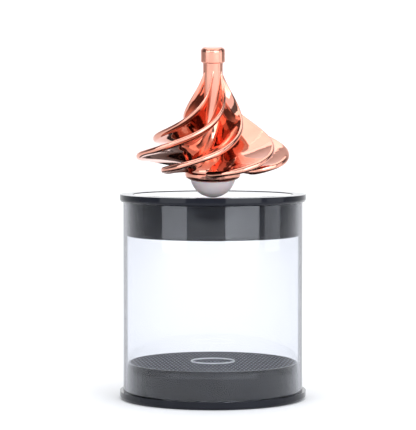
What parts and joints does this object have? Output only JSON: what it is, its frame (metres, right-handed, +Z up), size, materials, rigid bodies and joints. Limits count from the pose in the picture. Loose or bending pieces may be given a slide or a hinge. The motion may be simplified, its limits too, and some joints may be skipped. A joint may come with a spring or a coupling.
{
  "type": "spinning top",
  "caption": "Spinning top with swept helical blades on a ball foot, standing on the dished lid of its clear round display case.",
  "frame": {"origin": "centre of the case's foot, on the surface that it stands on", "axes": "+Z up along the case's axis; the top leans towards -Y, the side that the picture shows"},
  "size_m": [0.046, 0.046, 0.0868],
  "materials": {
    "cap_plastic": "polished black moulding",
    "floor_weave": "woven-pattern sheet",
    "seat_metal": "bright ring",
    "tube_clear": "clear polished tube",
    "dish_gloss": "mirror-polished black dish",
    "ball_satin": "satin pinkish white",
    "rose_gold": "bright rose-gold plating on a zinc casting"
  },
  "bodies": {
    "base": {"base_cap": "cap_plastic", "floor_insert": "floor_weave", "seat_ring": "seat_metal"},
    "tube": {"clear_tube": "tube_clear"},
    "lid": {"lid_cap": "cap_plastic", "lid_dish": "dish_gloss"},
    "ball_foot": {"ball": "ball_satin"},
    "collar": {"ball_collar": "rose_gold"},
    "rotor": {"blade_body": "rose_gold", "knob": "rose_gold"}
  },
  "joints": [
    {"name": "tube_pull", "type": "slide", "parent": "base", "child": "tube", "axis": [0, 0, 1], "range_m": [0, 0.01]},
    {"name": "lid_pull", "type": "slide", "parent": "tube", "child": "lid", "axis": [0, 0, 1], "range_m": [0, 0.012]},
    {"name": "top_lift", "type": "slide", "parent": "lid", "child": "ball_foot", "axis": [0, 0, 1], "range_m": [0, 0.015]},
    {"name": "top_lean", "type": "hinge", "parent": "ball_foot", "child": "collar", "pos_m": [0, 0, 0.05528], "axis": [1, 0, 0], "range_deg": [-33.7, 18.3]},
    {"name": "top_spin", "type": "hinge", "parent": "collar", "child": "rotor", "pos_m": [0, 0, 0.05528], "axis": [0, -0.134, 0.991], "continuous": true}
  ]
}
